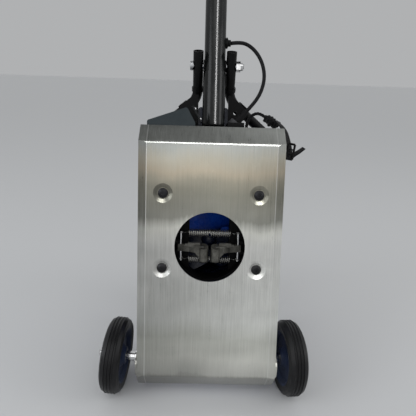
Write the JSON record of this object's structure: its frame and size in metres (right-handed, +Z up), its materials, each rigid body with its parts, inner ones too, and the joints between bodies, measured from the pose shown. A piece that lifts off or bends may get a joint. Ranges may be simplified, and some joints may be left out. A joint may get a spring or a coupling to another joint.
{
  "type": "pool vacuum head with pole",
  "caption": "Upright parked pool vacuum: stainless pan with a sprung guard over its suction port, wheels, tubular frame, motor hull, debris bag and tilting pole.",
  "frame": {"origin": "on the floor, under the middle of the whole object's box, with the vacuum parked upright", "axes": "+Z up, -Y out of the pan's face, +X to the right as the pan is seen from the front"},
  "size_m": [0.3982, 0.6277, 1.7535],
  "materials": {
    "stainless": "brushed stainless sheet, vertical grain, light water marks",
    "black_steel": "satin black powder coat",
    "pole_black": "dark charcoal satin tube",
    "chrome": "polished plated steel",
    "zinc_steel": "plain plated steel",
    "screw_black": "blackened screw heads",
    "cast_grey": "grey cast metal, slightly rough",
    "spring_steel": "bright spring wire",
    "blue_plastic": "glossy deep blue moulding",
    "black_plastic": "black moulding",
    "slate_plastic": "slate grey moulding",
    "hub_plastic": "dark blue-grey moulding",
    "tyre_rubber": "glossy black rubber",
    "rubber": "soft black rubber",
    "cable_rubber": "dark grey cable jacket",
    "grey_rubber": "grey moulded rubber",
    "bag_cloth": "dark open-weave bag cloth",
    "webbing": "black woven webbing",
    "rope_fibre": "black braided cord",
    "bronze": "sintered bushing"
  },
  "bodies": {
    "head": {"base_plate": "stainless", "plate_screws": "screw_black", "hull": "blue_plastic", "hull_gasket": "rubber", "guard_frame": "black_plastic", "guard_pivots": "chrome", "upper_spring": "spring_steel", "lower_spring": "spring_steel", "motor_housing": "black_plastic", "motor_core": "zinc_steel", "motor_end_cap": "black_plastic", "shaft_seal": "rubber", "shaft_bearing": "zinc_steel", "discharge_collar": "black_plastic", "leg_clamps": "black_plastic", "debris_bag": "bag_cloth", "neck_band": "webbing", "side_strap": "webbing", "strap_buckle": "black_plastic", "rope_knot": "rope_fibre", "draw_rope": "rope_fibre", "shoulder_box": "slate_plastic", "shoulder_lid": "slate_plastic", "lid_gasket": "rubber", "latch_plate": "stainless", "latch_screws": "chrome", "side_bar_right": "stainless", "side_bar_left": "stainless", "axle_bolts": "chrome", "axle_spacers": "chrome", "axle_nuts": "chrome", "bar_rivets": "chrome", "tube_frame": "black_steel", "foot_sleeves": "rubber", "leg_bolts": "chrome", "shoulder_yoke": "black_plastic", "cross_bolt": "zinc_steel", "cross_nut": "chrome", "cable_gland": "rubber", "gland_nut": "grey_rubber", "cable": "cable_rubber"},
    "guard_right": {"guard_arm_right": "cast_grey", "guard_pin_right": "chrome"},
    "guard_left": {"guard_arm_left": "cast_grey", "guard_pin_left": "chrome"},
    "rotor": {"propeller": "blue_plastic", "motor_shaft": "zinc_steel"},
    "wheel_right": {"wheel_tyre_right": "tyre_rubber", "wheel_hub_right": "hub_plastic", "wheel_bush_right": "bronze"},
    "wheel_left": {"wheel_tyre_left": "tyre_rubber", "wheel_hub_left": "hub_plastic", "wheel_bush_left": "bronze"},
    "pole": {"pole_tube": "pole_black", "pole_sleeve": "pole_black", "pole_foot_plug": "black_plastic", "pole_spacers": "black_plastic", "pole_grommet": "rubber", "pole_grip": "rubber", "pole_end_cap": "black_plastic"}
  },
  "joints": [
    {"name": "guard_right_swing", "type": "hinge", "parent": "head", "child": "guard_right", "pos_m": [0.054, -0.2107, 0.28498], "axis": [0, 0.2011, 0.9796], "range_deg": [0, 50], "stiffness_Nm_per_rad": 0.1, "springref_deg": -20.05, "deforming": ["upper_spring", "lower_spring"]},
    {"name": "guard_left_swing", "type": "hinge", "parent": "head", "child": "guard_left", "pos_m": [-0.054, -0.2107, 0.28498], "axis": [0, -0.2011, -0.9796], "range_deg": [0, 50], "stiffness_Nm_per_rad": 0.1, "springref_deg": -20.05, "deforming": ["upper_spring", "lower_spring"]},
    {"name": "propeller_spin", "type": "hinge", "parent": "head", "child": "rotor", "pos_m": [0, -0.1528, 0.2786], "axis": [0, 0.9796, -0.2011], "continuous": true},
    {"name": "right_wheel_spin", "type": "hinge", "parent": "head", "child": "wheel_right", "pos_m": [0.1595, -0.2436, 0.07], "axis": [-0.9934, -0.1132, 0.0209], "continuous": true},
    {"name": "left_wheel_spin", "type": "hinge", "parent": "head", "child": "wheel_left", "pos_m": [-0.1705, -0.2436, 0.07], "axis": [-0.9958, 0.0627, 0.0663], "continuous": true},
    {"name": "pole_tilt", "type": "hinge", "parent": "head", "child": "pole", "pos_m": [0.0022, -0.0875, 0.601], "axis": [-1, 0, 0], "range_deg": [0, 70], "deforming": ["cable"]}
  ]
}
